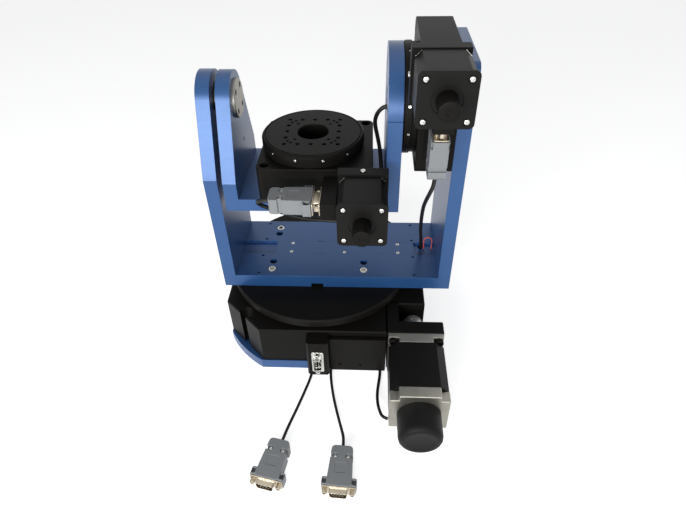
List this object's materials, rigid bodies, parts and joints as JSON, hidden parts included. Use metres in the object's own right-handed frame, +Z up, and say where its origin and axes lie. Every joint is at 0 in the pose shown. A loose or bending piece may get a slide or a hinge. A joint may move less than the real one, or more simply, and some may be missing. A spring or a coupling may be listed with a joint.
{
  "type": "rotation stage",
  "caption": "Motorised three-axis rotation stage: a round worm-drive base turns an outer cradle, a side stage tilts an inner cradle, and a small turntable with a bore stands in it.",
  "frame": {"origin": "where the vertical turning axis meets the surface that the base plate stands on", "axes": "+Z up along the vertical turning axis, +X towards the upright that carries the tilt stage, -Y towards the motors"},
  "size_m": [0.243, 0.3487, 0.3405],
  "materials": {
    "blue_anodised": "blue anodised, satin",
    "black_anodised": "black anodised, fine matt",
    "motor_black": "black satin",
    "cast_silver": "machined and die cast",
    "steel": "bright steel",
    "grey_hood": "metallised grey",
    "gold_shell": "yellow chromate",
    "knob_grey": "dark grey satin",
    "lead_black": "black PVC",
    "red_wire": "red insulation",
    "bronze": "cast bronze"
  },
  "bodies": {
    "base": {"base_plate": "blue_anodised", "base_housing": "black_anodised", "base_bearings": "steel", "worm_cover": "black_anodised", "connector_box": "black_anodised", "base_connector": "gold_shell", "motor_bracket": "black_anodised", "motor_caps": "cast_silver", "motor_stack": "motor_black", "base_screws": "steel", "motor_lead": "lead_black", "left_lead": "lead_black", "left_plug_hood": "grey_hood", "left_plug_shell": "gold_shell", "right_lead": "lead_black", "right_plug_hood": "grey_hood", "right_plug_shell": "gold_shell"},
    "base_drive": {"base_worm": "steel", "base_coupling": "cast_silver", "base_knob": "knob_grey"},
    "yaw": {"base_table": "black_anodised", "base_wheel": "bronze", "cradle_plate": "blue_anodised", "outer_left_upright": "blue_anodised", "outer_right_upright": "blue_anodised", "channel_cover": "blue_anodised", "cradle_screws": "steel", "pivot_bearing": "steel", "red_wire": "red_wire", "tilt_housing": "black_anodised", "tilt_bearing": "steel", "tilt_bracket": "black_anodised", "tilt_motor": "motor_black", "tilt_motor_cover": "motor_black", "tilt_connector_block": "black_anodised", "tilt_connector": "gold_shell", "tilt_plug": "grey_hood", "tilt_lead": "lead_black"},
    "tilt_drive": {"tilt_worm": "steel", "tilt_knob": "knob_grey"},
    "tilt": {"tilt_table": "black_anodised", "tilt_wheel": "bronze", "inner_left_arm": "blue_anodised", "inner_floor": "blue_anodised", "inner_right_arm": "blue_anodised", "pivot_flange": "cast_silver", "inner_screws": "steel", "top_housing": "black_anodised", "top_bearing": "steel", "top_bracket": "black_anodised", "top_motor": "motor_black", "top_motor_cover": "motor_black", "top_connector_block": "black_anodised", "top_connector": "gold_shell", "top_plug": "grey_hood", "top_lead": "lead_black"},
    "top_drive": {"top_worm": "steel", "top_knob": "knob_grey"},
    "top": {"top_table": "black_anodised", "top_wheel": "bronze"}
  },
  "joints": [
    {"name": "yaw_turn", "type": "hinge", "parent": "base", "child": "yaw", "pos_m": [0, 0, 0.075], "axis": [0, 0, 1], "continuous": true},
    {"name": "base_knob_turn", "type": "hinge", "parent": "base", "child": "base_drive", "pos_m": [0.105, -0.1, 0.032], "axis": [0, 1, 0], "continuous": true},
    {"name": "tilt_turn", "type": "hinge", "parent": "yaw", "child": "tilt", "pos_m": [0, 0, 0.269], "axis": [1, 0, 0], "range_deg": [-90, 90]},
    {"name": "tilt_knob_turn", "type": "hinge", "parent": "yaw", "child": "tilt_drive", "pos_m": [0.1075, -0.1, 0.3185], "axis": [0, 1, 0], "range_deg": [-16200, 16200]},
    {"name": "top_turn", "type": "hinge", "parent": "tilt", "child": "top", "pos_m": [0, 0, 0.235], "axis": [0, 0, 1], "continuous": true},
    {"name": "top_knob_turn", "type": "hinge", "parent": "tilt", "child": "top_drive", "pos_m": [0.0495, -0.1, 0.2105], "axis": [0, 1, 0], "continuous": true}
  ],
  "couplings": [
    {"joint": "base_knob_turn", "follows": "yaw_turn", "ratio": 180},
    {"joint": "tilt_knob_turn", "follows": "tilt_turn", "ratio": 180},
    {"joint": "top_knob_turn", "follows": "top_turn", "ratio": 180}
  ]
}
